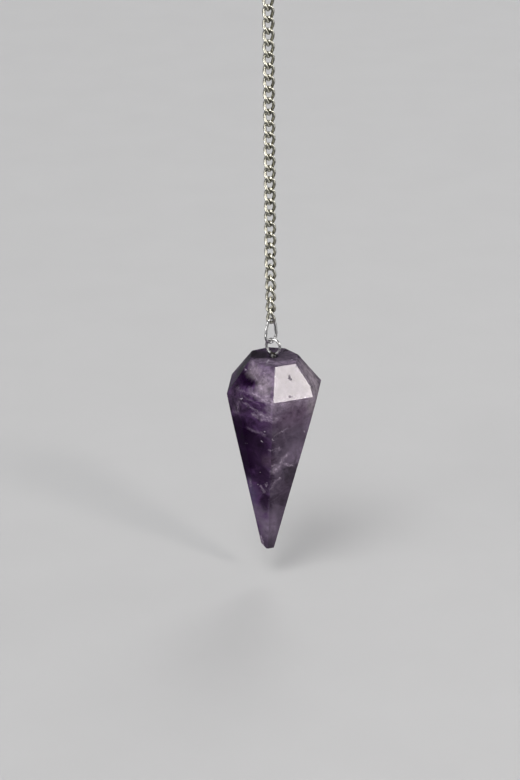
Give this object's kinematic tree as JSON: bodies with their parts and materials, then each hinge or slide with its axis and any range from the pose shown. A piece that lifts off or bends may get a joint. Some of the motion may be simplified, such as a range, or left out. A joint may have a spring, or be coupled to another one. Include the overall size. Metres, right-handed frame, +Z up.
{
  "type": "pendulum pendant",
  "caption": "Faceted stone cone that hangs point down by an eye and a teardrop link from a fine curb chain with an end ring.",
  "frame": {"origin": "inside top of the end ring, where a hook or finger carries the chain", "axes": "+Z up along the hanging chain, -Y towards the viewer of the picture, +X to the viewer's right"},
  "size_m": [0.0184, 0.0185, 0.122],
  "materials": {
    "chain_metal": "polished plated wire, warm pale silver, darker in the joints",
    "fitting_metal": "polished wire, neutral silver with fine scratches",
    "amethyst": "polished translucent violet quartz, zoned dark to lavender, with milky veils"
  },
  "bodies": {
    "chain": {"end_ring": "fitting_metal", "chain_link_01": "chain_metal", "chain_link_02": "chain_metal", "chain_link_03": "chain_metal", "chain_link_04": "chain_metal", "chain_link_05": "chain_metal", "chain_link_06": "chain_metal", "chain_link_07": "chain_metal", "chain_link_08": "chain_metal", "chain_link_09": "chain_metal", "chain_link_10": "chain_metal", "chain_link_11": "chain_metal", "chain_link_12": "chain_metal", "chain_link_13": "chain_metal", "chain_link_14": "chain_metal", "chain_link_15": "chain_metal", "chain_link_16": "chain_metal", "chain_link_17": "chain_metal", "chain_link_18": "chain_metal", "chain_link_19": "chain_metal", "chain_link_20": "chain_metal", "chain_link_21": "chain_metal", "chain_link_22": "chain_metal", "chain_link_23": "chain_metal", "chain_link_24": "chain_metal", "chain_link_25": "chain_metal", "chain_link_26": "chain_metal", "chain_link_27": "chain_metal", "chain_link_28": "chain_metal", "chain_link_29": "chain_metal", "chain_link_30": "chain_metal", "connector_link": "fitting_metal"},
    "drop": {"eye_pin": "fitting_metal", "stone": "amethyst"}
  },
  "joints": [
    {"name": "drop_swing", "type": "hinge", "parent": "chain", "child": "drop", "pos_m": [0, 0, -0.0771], "axis": [0.682, 0.7314, 0], "range_deg": [-90, 90]}
  ]
}
